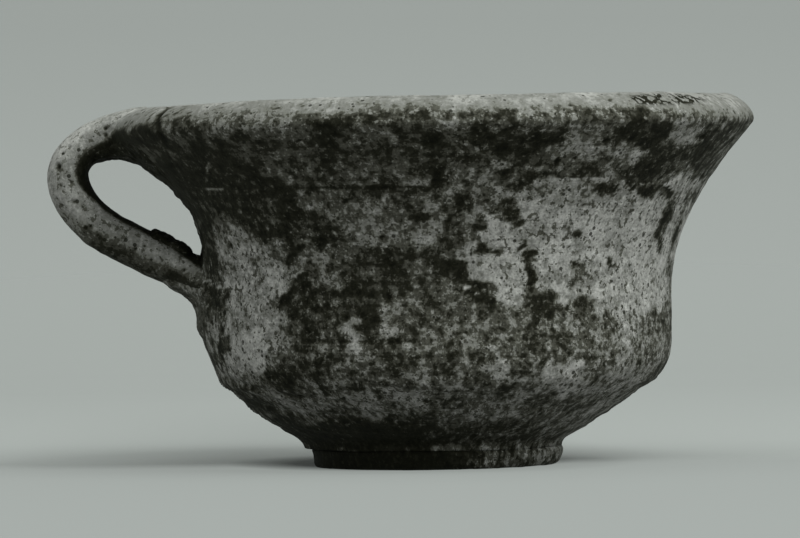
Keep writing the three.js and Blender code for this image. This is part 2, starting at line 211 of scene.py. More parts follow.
# The thrown bowl. It is red or buff earthenware thrown on a wheel, with a thick rounded lip, a flaring neck, an upright
# belly and a lower wall that was scraped down to the foot. Sizes are in millimetres, and the handle is at 180 degrees.
MM = 0.001
RIM_HEIGHT = 87
UNDERSIDE = 4.5
HANDLE_AZIMUTH = 180
BOWL_STEPS = 416  # round the bowl, about 0.9 mm apart on the belly
OUTSIDE_SPACING = 0.72
INSIDE_SPACING = 2
RIDGE_PITCH = 11  # throwing ridges inside
RIDGE_HEIGHT = 0.35


def bell(distance, spread):
    """1 at no distance, falling softly to 0 on both sides."""
    return np.exp(-(distance / spread) ** 2)


def ease(value, low, high):
    """0 up to low, 1 from high on, and soft between."""
    share = np.clip((value - low) / (high - low), 0, 1)
    return share * share * (3 - 2 * share)


def turn_between(a, b):
    """Degrees from one direction to another, the short way round."""
    return np.abs((a - b + 180) % 360 - 180)


def curved(points, spacing):
    """Evenly spaced points along a straight line of 2 points or a Bezier curve of 4."""
    knots = [Vector((r, 0, z)) for r, z in points]
    length = sum((b - a).length for a, b in zip(knots, knots[1:]))
    steps = max(2, round(length / spacing))
    if len(knots) == 2:
        return [tuple(knots[0].lerp(knots[1], i / steps).xz) for i in range(steps + 1)]
    return [tuple(p.xz) for p in interpolate_bezier(*knots, steps + 1)]


def chained(curves, spacing):
    """The points of curves that follow each other."""
    points = [curves[0][0]]
    for curve in curves:
        points += curved(curve, spacing)[1:]
    return points


outside = chained([
    [(29.3, 4.5), (29.3, 6.8), (32.2, 7.7), (34.3, 9)],  # small hollow over the foot
    [(34.3, 9), (50.3, 18.9)],  # scraped lower wall
    [(50.3, 18.9), (53.9, 21.1), (55.5, 25), (55.5, 30)],
    [(55.5, 30), (55.5, 43)],  # upright belly
    [(55.5, 43), (56.6, 56.1), (65.9, 68.8), (74.4, 79.4)],  # neck
    [(74.4, 79.4), (74.9, 80), (75.3, 80.4), (75.3, 81.2)],
    [(75.3, 81.2), (74.9, 84), (71.2, 87), (67.8, 87)],  # rounded lip
], OUTSIDE_SPACING)
hollow = chained([
    [(67.8, 87), (66.6, 87), (66, 86.4), (66, 85.2)],
    [(66, 85.2), (66, 75.7), (51.1, 59.9), (50.1, 43)],
    [(50.1, 43), (50.1, 35.4)],
    [(50.1, 35.4), (50.1, 17.8), (30, 10.2), (0, 10.2)],
], INSIDE_SPACING)
underneath = [(0, UNDERSIDE), (10, UNDERSIDE), (20, UNDERSIDE)]
outline = underneath + outside + hollow[1:]
outside_end = len(underneath) + len(outside)


def turned(outline, steps):
    """Clay turned to an outline of radius and height, from axis to axis."""
    clay = bmesh.new()
    line = [clay.verts.new((r * MM, 0, z * MM)) for r, z in outline]
    lines = [clay.edges.new(pair) for pair in zip(line, line[1:])]
    bmesh.ops.spin(
        clay, geom=line + lines, cent=(0, 0, 0), axis=(0, 0, 1), angle=2 * math.pi, steps=steps, use_merge=True)
    bmesh.ops.remove_doubles(clay, verts=clay.verts, dist=1e-7)
    bmesh.ops.recalc_face_normals(clay, faces=clay.faces)
    return clay


def places(piece):
    """The vertices in millimetres, and their normals."""
    mesh = piece.data
    mesh.update()
    at = np.empty(len(mesh.vertices) * 3)
    mesh.vertices.foreach_get("co", at)
    facing = np.empty(len(mesh.vertices) * 3)
    mesh.vertex_normals.foreach_get("vector", facing)
    return at.reshape(-1, 3) / MM, facing.reshape(-1, 3)


def move_to(piece, at):
    piece.data.vertices.foreach_set("co", (at * MM).ravel())
    piece.data.update()


def lumps(at, size, seed, stretch=(1, 1, 1)):
    """Smooth noise from -1 to 1 whose features are about that many millimetres across."""
    scaled = at / (np.array(stretch) * size) + np.array((seed * 7.31, seed * 3.17, seed * 11.7))
    return np.array([noise.noise(p) for p in scaled.tolist()])


def unevenness(at, *parts):
    """Lumps of several sizes added up, each given by its height, its size, its seed and maybe its stretch."""
    return sum(height * lumps(at, *part) for height, *part in parts)


def rows_of(at, outline):
    """Which point of the turned outline each vertex came from."""
    radius = np.hypot(at[:, 0], at[:, 1])
    nearest = np.full(len(at), np.inf)
    row = np.zeros(len(at), int)
    for i, (r, z) in enumerate(outline):
        away = np.hypot(radius - r, at[:, 2] - z)
        row[away < nearest] = i
        nearest = np.minimum(nearest, away)
    return row


def azimuth_of(at):
    """Degrees round the bowl, from its right. The handle is at 180 and the front at 270."""
    return np.degrees(np.arctan2(at[:, 1], at[:, 0])) % 360


# The potter's hands left the lip lower at the handle, and pushed the wall in above and below the handle's root.
LIP_SAGS = [(HANDLE_AZIMUTH, 2.4, 50), (0, 0.6, 28)]  # direction, depth and degrees to each side
SAG_HEIGHT = 28  # how far down from the lip the clay sagged with it
HANDLE_ROOT = 44.4
# height, depth, degrees to each side, and reach up and down
PRESSES = [(HANDLE_ROOT + 16, 4.3, 24, 9.5), (23.9, 2, 34, 5.5), (8.4, -2.5, 40, 7.5)]


def sag(azimuth, height):
    """How far the wall sank at the lip, in millimetres."""
    depth = sum(d * bell(turn_between(azimuth, a), spread) for a, d, spread in LIP_SAGS)
    return depth * ease(height, RIM_HEIGHT - SAG_HEIGHT, RIM_HEIGHT)


def push(azimuth, height):
    """How far the wall was pushed in beside the handle, in millimetres."""
    away = turn_between(azimuth, HANDLE_AZIMUTH)
    return sum(d * bell(away, spread) * bell(height - z, rise) for z, d, spread, rise in PRESSES)


bowl = to_object("thrown_bowl_clay", turned(outline, BOWL_STEPS))
at, facing = places(bowl)
azimuth = azimuth_of(at)
radius = np.hypot(at[:, 0], at[:, 1])
turned_height = at[:, 2].copy()
row = rows_of(at, outline)
is_outside = row < outside_end

pushed = radius - push(azimuth, turned_height)
pushed = np.where(radius < 1, radius, pushed)
spread_out = np.divide(pushed, radius, out=np.ones_like(radius), where=radius > 1e-6)
at[:, :2] *= spread_out[:, None]
at[:, 2] -= sag(azimuth, turned_height)


def on_side(direction, spread):
    """1 in one direction round the bowl, falling to 0 at both sides of it."""
    return bell(turn_between(azimuth, direction), spread)


# Hand work on the surface: soft unevenness, fine lines that the fingers left as the bowl turned, a shallow groove round
# the neck and a short sharp one low on the belly.
NECK_GROOVE, BELLY_GROOVE = 66.6, 30.8
relief = unevenness(at, (0.24, 15, 1), (0.12, 5.5, 2, (1, 1, 0.6)), (0.05, 2.1, 4))
ripple = lumps(np.c_[azimuth / 60, turned_height, 0 * azimuth], 1.5, 3)
relief += np.where(is_outside, 0.07, 0.12) * ripple
relief -= 0.2 * is_outside * bell(turned_height - NECK_GROOVE, 0.9) * (0.5 + 0.5 * lumps(at, 22, 5))
relief -= 0.35 * is_outside * bell(turned_height - BELLY_GROOVE, 0.7) * ease(-turn_between(azimuth, 252), -19, -12)

# Scraping strokes on the lower wall, deepest at the left of the foot.
STROKE_LEAN = math.radians(-24)
STROKE_LENGTH, STROKE_WIDTH = 17, 4.2
arc = np.radians(azimuth) * radius
along_stroke = (arc * math.cos(STROKE_LEAN) + at[:, 2] * math.sin(STROKE_LEAN)) / STROKE_LENGTH
across_stroke = (at[:, 2] * math.cos(STROKE_LEAN) - arc * math.sin(STROKE_LEAN)) / STROKE_WIDTH
strokes = np.c_[along_stroke, across_stroke, 0 * arc]
low = is_outside & (turned_height > 6) & (turned_height < 25)
scoops = np.zeros(len(at))
scoops[low] = [noise.voronoi(p)[0][0] for p in strokes[low].tolist()]
fade = ease(turned_height, 7, 10) * (1 - ease(turned_height, 20, 25))
relief += low * fade * (scoops - 0.6) * (0.5 + 0.9 * on_side(215, 45))


def spot(direction, spread, height, rise):
    """A soft oval on the bowl's wall, 1 in its middle."""
    return on_side(direction, spread) * bell(turned_height - height, rise)


# Where the wall stands off the turned shape: direction, degrees to each side, height, reach up and down, and how far.
# It is fuller low on the right, slimmer at the right of the neck, and dented at the handle's root.
OFF_ROUND = [(0, 55, 13, 4, 0.3), (0, 55, 8, 2.2, 0.45), (0, 55, 63, 8, -0.35), (HANDLE_AZIMUTH, 45, 17, 4.5, -0.2),
             (HANDLE_AZIMUTH, 14, 51.6, 3.4, -1.1), (HANDLE_AZIMUTH, 14, 62, 3.5, 0.4)]
relief += is_outside * sum(amount * spot(*place) for *place, amount in OFF_ROUND)
# Inside the handle the clay was left rough.
in_handle = ease(turned_height, 47, 50) * (1 - ease(turned_height, 68, 72)) * on_side(HANDLE_AZIMUTH, 16)
relief += is_outside * in_handle * unevenness(at, (0.6, 1.9, 41), (0.35, 3.2, 42))

# Inside, the fingers left shallow rising ridges.
rising = np.sin((turned_height / RIDGE_PITCH - azimuth / 360) * 2 * math.pi)
relief += ~is_outside * RIDGE_HEIGHT * rising * ease(turned_height, 12, 20) * (1 - ease(turned_height, 70, 80))


def pitted(at, middles, sizes, steepness):
    """How deep the pits are at each vertex, where grit burned out or fell away."""
    depth = np.zeros(len(at))
    for middle, size in zip(middles, sizes):
        away = np.linalg.norm(at - middle, axis=1)
        depth = np.maximum(depth, np.clip(1 - away / size, 0, 1) * size * steepness)
    return depth


BOWL_PITS = 170
rng = np.random.default_rng(7)
on_wall = np.flatnonzero(is_outside & (turned_height > 6))
pit_middles = at[rng.choice(on_wall, BOWL_PITS, replace=False)]
pit_depth = pitted(at, pit_middles, rng.uniform(0.5, 1.1, BOWL_PITS), steepness=0.55)
relief -= pit_depth

# The strap was smeared along the lip towards the front, and a crack opened where the smear ends.
SMEAR_THICKNESS = 0.12
CRACK_WIDTH, CRACK_DEPTH = 0.42, 0.45
crack_x = np.interp(at[:, 2], [76.8, 79, 82.5, 84.8, 86], [-61.5, -62.9, -63.7, -61.6, -60])
on_lip = is_outside * ease(at[:, 2], 76.2, 77.4) * ease(-at[:, 1], 8, 20)
crack = on_lip * bell(at[:, 0] - crack_x, CRACK_WIDTH) * ease(-at[:, 1], 25, 30)
relief += SMEAR_THICKNESS * on_lip * ease(crack_x - at[:, 0], 0, 1.5) - CRACK_DEPTH * crack

at += facing * relief[:, None]
move_to(bowl, at)


# Where the slip has worn off, seen on the front. The dark ovals under the lip, beside the handle, over the foot and
# under the strap's end are partly dark slip and partly painted shade. Each place is a soft oval: its middle along X and
# its height, its half width and half height, its tilt in degrees, and how bare it is, from 0, thick dark slip, to 1,
# bare pale clay. Later ovals lie over earlier ones.
WORN_AND_SHADED_PLACES = [
    # broad pale wear on the right of the belly, on the left of it, and on the scraped lower wall
    (40.7, 55, 15, 11.8, 0, 0.85), (19.3, 57.1, 10.3, 8.9, 0, 0.78), (13.5, 48.7, 8.5, 5.6, -15, 0.77),
    (47.8, 41.2, 7.5, 8, 0, 0.82), (28.6, 65, 14.6, 2.6, 0, 0.57), (59.9, 65.1, 4.7, 2.1, 0, 0.74),
    (38, 62, 9, 3.4, 0, 0.62), (50, 48.5, 6, 5, 0, 0.94), (57.6, 53.4, 1.2, 8.9, -8, 0.8),
    (37.8, 74.4, 9.9, 6.1, 0, 0.45), (44.3, 30.9, 9.9, 6.1, 0, 0.5), (28.3, 33.9, 11.8, 3.8, 0, 0.4),
    (40.5, 21.5, 11.8, 4.7, 20, 0.52), (35.6, 13.2, 10.3, 2.8, 25, 0.48), (9.8, 16.3, 14.1, 4.7, 0, 0.4),
    (-15.5, 16.4, 18.3, 2.8, 0, 0.5), (-45.1, 51.3, 6.6, 6.1, 0, 0.6), (-42, 43.9, 9.4, 4.2, 0, 0.7),
    (-43.5, 36.1, 7.1, 5.2, 0, 0.72), (-40.3, 31, 7.5, 3.8, 0, 0.72), (-46, 24.8, 5.2, 4.7, -25, 0.68),
    (-51.9, 33, 1.2, 7.5, -10, 0.6), (-27, 47.7, 5.6, 3.5, 0, 0.55), (-14, 57.8, 6.1, 6.1, 0, 0.48),
    (-4.3, 34.5, 8, 7.1, 0, 0.38), (9.9, 33.1, 14.1, 5.6, 0, 0.34), (-19.4, 28.9, 3.1, 1.9, 0, 0.68),
    (13.7, 24.3, 4, 2.4, 0, 0.64), (28.3, 19.2, 1.9, 3.3, 0, 0.6), (42.6, 48.8, 14.1, 0.7, 0, 0.9),
    (38, 44.5, 9.5, 4.5, 0, 0.72), (27.4, 50.5, 7.1, 4.2, 0, 0.78), (21.5, 42.6, 9.4, 3.8, 0, 0.68),
    (-20, 76, 42, 5.5, 0, 0.27), (-34.9, 30, 4.7, 3.3, 0, 0.55),
    # dark slip in the belly's middle, a dark line along the belly's groove, and dark slip with painted shade under the
    # lip, beside the handle and over the foot
    (-56, 68.5, 9.4, 10, 0, 0.1), (-33, 57.5, 9.4, 4.2, 0, 0.2), (-44.6, 69, 11.3, 3.5, -22, 0.08),
    (-45.8, 62.1, 9.9, 3.5, 0, 0.12), (-34.2, 60.2, 1.9, 7.1, 0, 0.1), (-53.4, 55.2, 1.4, 8.9, -12, 0.12),
    (-42.7, 77.8, 4, 1.9, -15, 0.13), (-24.8, 77.6, 4.2, 1.6, -10, 0.12), (-24.5, 72.6, 2.6, 2.8, -30, 0.13),
    (-7.1, 77.4, 4.2, 0.9, -50, 0.05), (0.5, 71.1, 2.1, 7.1, 8, 0.05), (7.6, 77.2, 5.6, 1.6, 0, 0.14),
    (6.2, 72.6, 5.6, 1.2, 0, 0.22), (19.9, 76.6, 8.5, 4.5, 0, 0.09), (19.4, 69.3, 3.5, 3.3, 0, 0.14),
    (48.9, 77.2, 6.2, 4.8, -10, 0.08), (47.2, 68.7, 5.2, 3.3, 0, 0.16), (38.3, 70.5, 5.6, 1.9, 12, 0.22),
    (54.8, 71.8, 3.3, 2.8, 0, 0.12), (59.6, 72.4, 6.6, 1.6, 38, 0.14), (65.4, 75.7, 7.1, 1.9, 42, 0.14),
    (38.3, 64.8, 2.1, 1.4, 0, 0.14), (49.2, 64.5, 2.8, 1.4, 0, 0.2), (54, 64.3, 1.9, 1.4, 0, 0.18),
    (53.4, 58.6, 1.3, 5.6, -7, 0.14), (52.3, 51.8, 0.7, 2.6, 0, 0.3), (5.9, 61.4, 1.4, 1.4, 0, 0.12),
    (11.6, 61.1, 2.1, 1.9, 0, 0.2), (9.7, 55.6, 1.4, 2.6, 10, 0.17), (16.8, 60.1, 2.8, 4, 20, 0.14),
    (20, 52.2, 1.2, 2.4, -40, 0.12), (21.8, 47.1, 1.4, 4.7, -5, 0.1), (12.2, 51, 2.8, 1.4, 0, 0.26),
    (4.6, 47.8, 4.6, 2.4, -38, 0.14), (9.4, 42.2, 5, 2.2, -20, 0.12), (31.6, 56.1, 1.4, 2.6, 0, 0.3),
    (32.2, 44.1, 3.3, 2.8, 0, 0.4), (23.8, 39.3, 6.6, 2.4, -10, 0.26), (-17, 45.3, 9.5, 6.6, 0, 0.2),
    (-0.5, 49.5, 3.2, 3.2, 0, 0.12), (-29.8, 43.6, 2.4, 5.2, 0, 0.04), (-33.1, 39.4, 1.9, 2.1, 0, 0.08),
    (-27.1, 39.9, 3.8, 2.8, 0, 0.16), (-25.8, 53.5, 2.4, 2.1, 40, 0.1), (-33.4, 50.5, 1.9, 1.9, 0, 0.16),
    (-2.6, 59.2, 2.1, 0.9, 0, 0.04), (-16.1, 36.9, 4.2, 4.2, 0, 0.22), (-31.4, 33.9, 5.6, 2.4, 0, 0.26),
    (-27, 26, 9.4, 4.2, 0, 0.28), (-51.8, 42.3, 3.5, 4.2, 0, 0.24), (-51.9, 48.9, 2.1, 3.8, 0, 0.16),
    (-49.8, 28.4, 1.2, 5.2, -15, 0.16), (-35.7, 22, 6.6, 1.2, -30, 0.18), (-38.5, 13.5, 9.4, 1.4, -30, 0.1),
    (-15.7, 8, 22.5, 4.4, 0, 0.04), (14.5, 8.8, 16.5, 3.3, 0, 0.28), (-46.2, 29.7, 0.7, 1.4, 0, 0),
    (-44.3, 28.2, 0.6, 0.6, 0, 0), (40.2, 48, 0.7, 1.2, 0, 0), (-16, 30.8, 14, 0.55, 0, 0.06),
    (-48, 84.7, 2.4, 0.5, 40, 0.2), (-52.1, 82.2, 0.6, 1.6, -10, 0.15), (-55.9, 81.6, 0.6, 1.2, -10, 0.2),
    (-36.9, 85.7, 2.8, 0.5, 10, 0.3), (-42.9, 85.8, 0.9, 0.5, 0, 0.2), (57.2, 57, 0.6, 8.9, -17, 0.25),
    # chips, scratches and small pale flakes, a dark line along the neck's groove, dark slip with painted shade under
    # the strap's end on the lip, and a few tones laid over the places above
    (44.8, 73.9, 2.8, 2.6, 20, 0.66), (56.6, 78.2, 3.4, 1.9, 10, 0.68), (-23.4, 44.5, 2.6, 2.1, 0, 0.62),
    (-2.2, 54, 3.3, 0.9, 0, 0.6), (1, 57.4, 1.4, 1.4, 0, 0.6), (-19.4, 33.5, 2.4, 3.1, 0, 0.74),
    (-12, 36.2, 0.9, 3.1, 0, 0.58), (-11.4, 31.6, 1.9, 1.2, 0, 0.62), (28.6, 22.8, 6.1, 2.6, 0, 0.76),
    (-37.5, 18.6, 8, 0.8, -33, 0.55), (-35.3, 16.4, 6.1, 0.9, -33, 0.58), (-70, 78.2, 7, 2.8, 0, 0.08),
    (-17, 66.3, 19, 0.4, 0, 0.06), (34, 67.2, 9, 0.35, 0, 0.76), (-51, 66.2, 3.3, 0.3, 0, 0.5),
    (-52.3, 70, 0.5, 2.6, -10, 0.45), (-61.4, 75.1, 2.1, 0.5, -50, 0.4), (-42.5, 29, 5.4, 4.2, 0, 0.88),
    (-50, 36.8, 2.4, 2.6, 0, 0.28), (17.5, 41.3, 4, 2.4, 0, 0.7), (31, 42.2, 4.7, 2.6, 0, 0.74),
    (20, 14, 11, 3.6, 0, 0.46), (49.6, 60.5, 1.9, 4, 0, 0.78), (56.8, 60, 1.3, 4.5, -6, 0.78),
    (57, 65.7, 5, 1.1, 0, 0.8), (31.5, 49.6, 9, 0.8, 0, 1), (6.8, 43, 0.8, 0.7, 0, 1.05), (9.3, 41.6, 0.7, 0.6, 0, 1),
    (-52, 43.8, 3.2, 0.45, -28, 0.7), (7.6, 50.8, 2.6, 1.6, 0, 0.6),
]


PLAIN_WEAR = 0.36


def placed_wear_and_shade(at):
    """How bare the clay is, with some painted shade, placed on the front and left to chance on the back."""
    front = ease(-at[:, 1], -6, 4)
    value = PLAIN_WEAR + front * 0.1 * lumps(at, 14, 8) + (1 - front) * unevenness(at, (0.7, 26, 8), (0.5, 12, 9))
    ragged_x = at[:, 0] + unevenness(at, (2.6, 4.6, 31), (1.4, 2.1, 33))
    ragged_z = at[:, 2] + unevenness(at, (2.6, 4.6, 32), (1.4, 2.1, 34))
    for x, z, wide, high, tilt, level in WORN_AND_SHADED_PLACES:
        turn = math.radians(tilt)
        has_clean_edge = min(wide, high) <= 1
        dx, dz = (at[:, 0] - x, at[:, 2] - z) if has_clean_edge else (ragged_x - x, ragged_z - z)
        u = (dx * math.cos(turn) + dz * math.sin(turn)) / wide
        v = (dz * math.cos(turn) - dx * math.sin(turn)) / high
        share = front * (1 - ease(np.hypot(u, v), 0.7, 1.22))
        value = value * (1 - share) + level * share
    return value


def set_layer(piece, name, value):
    """Keeps a number at each vertex, for the material to read."""
    layer = piece.data.attributes.new(name, "FLOAT", "POINT")
    layer.data.foreach_set("value", value.astype(np.float32))


def set_wear_and_shade(piece, value, mottle=1.0):
    """How bare each vertex is, with painted shade as lower values, and how strongly the wash is broken up there."""
    set_layer(piece, "wear_and_shade", np.clip(value, -0.1, 1.2))
    set_layer(piece, "mottle", np.clip(mottle + 0 * value, -0.1, 1.2))


# The lip is paler, most on its top. The band's lower edge wanders up and down as it goes round, so it is given as
# heights at directions.
LIP_BAND_EDGE = [
    (0, 82), (100, 83.5), (180, 81.6), (206, 82.5), (214, 83.5), (224, 84.3), (233, 84.3), (240, 83.8), (251, 83.3),
    (264, 83.9), (293, 84), (309, 83.4), (319, 82.9), (331, 81.2), (345, 80.5), (360, 82)]
band_edge = np.interp(azimuth, *np.transpose(LIP_BAND_EDGE)) + 0.6 * lumps(at, 2.6, 35)
lip_band = ease(turned_height, band_edge - 1.1, band_edge + 0.9)
near_handle = on_side(196, 26)
lip_and_face_tone = np.interp(turned_height, [82, 83.5, 85.4, 86.6], [0.54, 0.6, 0.68, 0.75]) + 0.1 * lumps(at, 6, 12)
for direction, spread, darker in ((265, 11, 0.1), (225, 16, 0.07), (292, 14, 0.05)):
    lip_and_face_tone -= darker * on_side(direction, spread)
# Flecks of slip are left on it, most at the left.
flecked = ease(lumps(at, 0.95, 51, (1.5, 1.5, 1)), 0.3, 0.5) * (0.25 + 0.75 * on_side(222, 34))
lip_and_face_tone -= 0.34 * flecked

INNER_LIP = 0.7
# Pits and the crack are painted darker by their depth, a painted shade in them.
PIT_DARKENING, CRACK_DARKENING = 0.9, 0.75
wear_and_shade = placed_wear_and_shade(at) * (1 - lip_band) + lip_band * lip_and_face_tone
inner_tone = 0.42 + 0.5 * lumps(at, 20, 13) + 0.12 * (1 - ease(turned_height, 12, 20))
wear_and_shade = np.where(is_outside, wear_and_shade, inner_tone * (1 - lip_band) + lip_band * INNER_LIP)
wear_and_shade -= PIT_DARKENING * pit_depth + CRACK_DARKENING * crack

# The wash is less broken up on bare clay and on the lip, beside the handle, on the left of the neck, in the middle of
# the belly and low on the left.
mottle = 1 - 0.12 * ease(wear_and_shade, 0.65, 0.85) * (1 - lip_band) - lip_band * (0.55 + 0.08 * near_handle)
beside_handle = on_side(190, 24) * ease(turned_height, 52, 60) * (1 - lip_band)
mottle *= (1 - 0.55 * beside_handle) * (1 - 0.25 * spot(238, 26, 73, 9) * (1 - lip_band))
mottle *= 1 - 0.15 * spot(265, 22, 48, 15)
mottle *= 1 - 0.5 * spot(245, 32, 7, 3.5)
set_wear_and_shade(bowl, wear_and_shade, mottle)


# Slip over earthenware. The slip is a thin dark clay wash, matt, and broken by wear into ragged patches, so the eye
# sees flat dark and grey islands, pale bare clay between them, specks of grit and small pits. On thrown pieces the
# patches are drawn out along the turning, because the wash was wiped on as the wheel ran.
def slipped_earthenware(name, drawn_out):
    material, tree = new_material(name)
    node = functools.partial(add_node, tree)
    place = node("TexCoord", output="Object")
    wear_and_shade = node("Attribute", output="Fac", attribute_name="wear_and_shade")
    mottle = node("Attribute", output="Fac", attribute_name="mottle")

    # On thrown pieces the pattern is drawn out a little along the slope and round the turning.
    plain_radius, least_radius = 55 * MM, 25 * MM  # where the pattern isn't stretched, and where it is stretched most
    pattern = place
    if drawn_out:
        x, y, _ = node("SeparateXYZ", {0: place}).node.outputs
        level_place = node("CombineXYZ", {0: x, 1: y})
        radius = node("VectorMath", {0: level_place}, "Value", operation="LENGTH")
        radius = node("Math", {0: radius, 1: least_radius}, operation="MAXIMUM")
        squeeze = node("Math", {0: plain_radius, 1: radius}, operation="DIVIDE")
        squeeze = node("Math", {0: squeeze}, operation="SQRT")
        squeezes = node("CombineXYZ", {0: squeeze, 1: squeeze, 2: 1.0})
        pattern = node("VectorMath", {0: place, 1: squeezes}, operation="MULTIPLY")

    # Patches of several sizes: each has its size in millimetres, the number of finer sizes in it, how rough those make
    # it, and where it lies.
    patches = ((6.0, 3, 0.58, pattern), (1.9, 3, 0.58, pattern), (0.6, 2, 0.6, place), (1.5, 3, 0.6, pattern),
               (1.15, 2, 0.55, pattern))
    if drawn_out:
        # Fine lines 1 mm apart across the wiping, drawn out 20 times along it.
        long_way = 20
        sweep = node("CombineXYZ", {2: node("Attribute", output="Fac", attribute_name="sweep")})
        wiped = node("VectorMath", {0: place, 1: (1 / long_way, 1 / long_way, 0)}, operation="MULTIPLY")
        wiped = node("VectorMath", {0: wiped, 1: sweep}, operation="ADD")
        patches += ((1.0, 2, 0.6, wiped),)
    blotches, flecks, grit, held_on, flaked, *wiping = [
        node("TexNoise", {"Vector": vector, "Scale": 1 / (size * MM), "Detail": finer, "Roughness": rough}, "Fac")
        for size, finer, rough, vector in patches]

    # How much each lightens or darkens the wash. On hand-formed pieces the wash is more even.
    blotch_share, fleck_share = (1.05, 1.35) if drawn_out else (0.45, 0.85)
    parts = [(blotches, blotch_share), (flecks, fleck_share), (grit, 0.16)] + [(lines, 0.3) for lines in wiping]
    uneven = 0.0
    for part, amount in parts:
        apart = node("Math", {0: part, 1: 0.5}, operation="SUBTRACT")
        uneven = node("Math", {0: apart, 1: amount, 2: uneven}, operation="MULTIPLY_ADD")
    level = node("Math", {0: uneven, 1: mottle, 2: wear_and_shade}, operation="MULTIPLY_ADD")

    # Islands of thin slip that held on inside the pale wear, and chips where the slip flaked off.
    island_level, island_share, chip_share = 0.26, 0.8, 0.19
    islands = node("MapRange", {0: held_on, 1: 0.575, 2: 0.592, 4: mottle})
    towards = node("Math", {0: island_level, 1: level}, operation="SUBTRACT")
    towards = node("Math", {0: towards, 1: island_share}, operation="MULTIPLY")
    level = node("Math", {0: islands, 1: towards, 2: level}, operation="MULTIPLY_ADD")
    chips = node("MapRange", {0: flaked, 1: 0.615, 2: 0.63, 4: mottle})
    level = node("Math", {0: chips, 1: chip_share, 2: level}, operation="MULTIPLY_ADD")

    # From thick slip, through thin slip, to bare clay. The steep steps are the edges of the slip's layers.
    tones = [(-0.25, "#0b0c04"), (0.0, "#18190f"), (0.25, "#2c2d23"), (0.268, "#404138"), (0.45, "#5d5f55"),
             (0.472, "#7c7f76"), (0.64, "#8f928b"), (0.8, "#adb0a9"), (0.95, "#bcbfb8"), (1.25, "#c8cbc5")]
    lowest, span = tones[0][0], tones[-1][0] - tones[0][0]
    share = node("Math", {0: level, 1: 1 / span, 2: -lowest / span}, operation="MULTIPLY_ADD")
    ramp = node("ValToRGB", {"Fac": share})
    stops = ramp.node.color_ramp.elements
    while len(stops) < len(tones):
        stops.new(0.5)
    for stop, (bareness, colour) in zip(stops, tones):
        stop.position = (bareness - lowest) / span
        stop.color = linear(colour)

    # Specks of dark grit in two sizes: the spacing of their cells, their least and added size in parts of it, and the
    # share of cells without one.
    specks = 0.0
    for spacing, least, growth, empty in ((2.3, 0.07, 0.16, 0.35), (1.2, -0.275, 0.55, 0.5)):
        cells = node("TexVoronoi", {"Vector": place, "Scale": 1 / (spacing * MM)}, "Distance")
        lots = node("SeparateColor", {0: cells.node.outputs["Color"]}).node.outputs
        size = node("Math", {0: lots[1], 1: growth, 2: least}, operation="MULTIPLY_ADD")
        dots = node("Math", {0: cells, 1: size}, operation="LESS_THAN")
        chosen = node("Math", {0: lots[0], 1: empty}, operation="GREATER_THAN")
        dots = node("Math", {0: dots, 1: chosen}, operation="MULTIPLY")
        specks = node("Math", {0: specks, 1: dots}, operation="MAXIMUM")

    # Fine cracks in a patch of the lip, as wandering edges between plates of slip, with gaps.
    plate, crack_share = 2.4 * MM, 0.14
    swirl = node("TexNoise", {"Vector": place, "Scale": 1 / (1.6 * MM), "Detail": 2}, "Color")
    bent = node("VectorMath", {0: swirl, 1: (plate,) * 3, 2: place}, operation="MULTIPLY_ADD")
    edges = node("TexVoronoi", {"Vector": bent, "Scale": 1 / plate}, "Distance", feature="DISTANCE_TO_EDGE")
    crackle = node("Math", {0: edges, 1: crack_share}, operation="LESS_THAN")
    crackled = node("Attribute", output="Fac", attribute_name="crackle")
    crackle = node("Math", {0: crackle, 1: crackled}, operation="MULTIPLY")
    gaps = node("Math", {0: blotches, 1: 0.36}, operation="GREATER_THAN")
    crackle = node("Math", {0: crackle, 1: gaps}, operation="MULTIPLY")
    specks = node("Math", {0: specks, 1: 0.85}, operation="MULTIPLY")
    marks = node("Math", {0: specks, 1: crackle}, operation="MAXIMUM")

    # Grit makes every tone a little grainy, where the wash is mottled.
    grain = 1.5
    grainy = node("Math", {0: grit, 1: 0.5}, operation="SUBTRACT")
    strength = node("Math", {0: mottle, 1: grain}, operation="MULTIPLY")
    grainy = node("Math", {0: grainy, 1: strength, 2: 1.0}, operation="MULTIPLY_ADD")
    toned = node("VectorMath", {0: ramp, 1: grainy}, operation="MULTIPLY")
    colour = node("Mix", {"Factor": marks, 6: toned, 7: linear("#25261b")}, 2, data_type="RGBA")

    # Fired clay is matt all over. Flecks stand up, and marks lie a little deeper.
    height = node("Math", {0: grit, 1: 0.35}, operation="MULTIPLY")
    height = node("Math", {0: flecks, 1: 0.6, 2: height}, operation="MULTIPLY_ADD")
    height = node("Math", {0: marks, 1: -0.4, 2: height}, operation="MULTIPLY_ADD")
    bump = node("Bump", {"Height": height, "Strength": 0.7, "Distance": 0.5 * MM})
    body = node("BsdfPrincipled", {
        "Base Color": colour, "Roughness": 0.82, "IOR": 1.5, "Specular IOR Level": 0.12, "Normal": bump})
    node("OutputMaterial", {"Surface": body})
    return material


def length_to(points):
    """How far along a line each of its points is."""
    steps = np.linalg.norm(np.diff(points, axis=0), axis=1)
    return np.concatenate([[0], np.cumsum(steps)])


# Across the wiping, the fine lines follow the turned outline.
set_layer(bowl, "sweep", length_to(outline)[row] * MM)
# The crackle is on the front of the lip at the right.
crackled = bell(at[:, 0] - 53, 9.5) * ease(-at[:, 1], 0, 20) * bell(turned_height - 85.3, 1.3)
set_layer(bowl, "crackle", ease(crackled, 0.25, 0.5))
thrown_slip = slipped_earthenware("slip_with_wear_and_painted_shade_on_thrown_clay", True)
hand_slip = slipped_earthenware("slip_with_wear_and_painted_shade_on_hand_formed_clay", False)
bowl.data.materials.append(thrown_slip)
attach(bowl, "root")
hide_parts("thrown_bowl")


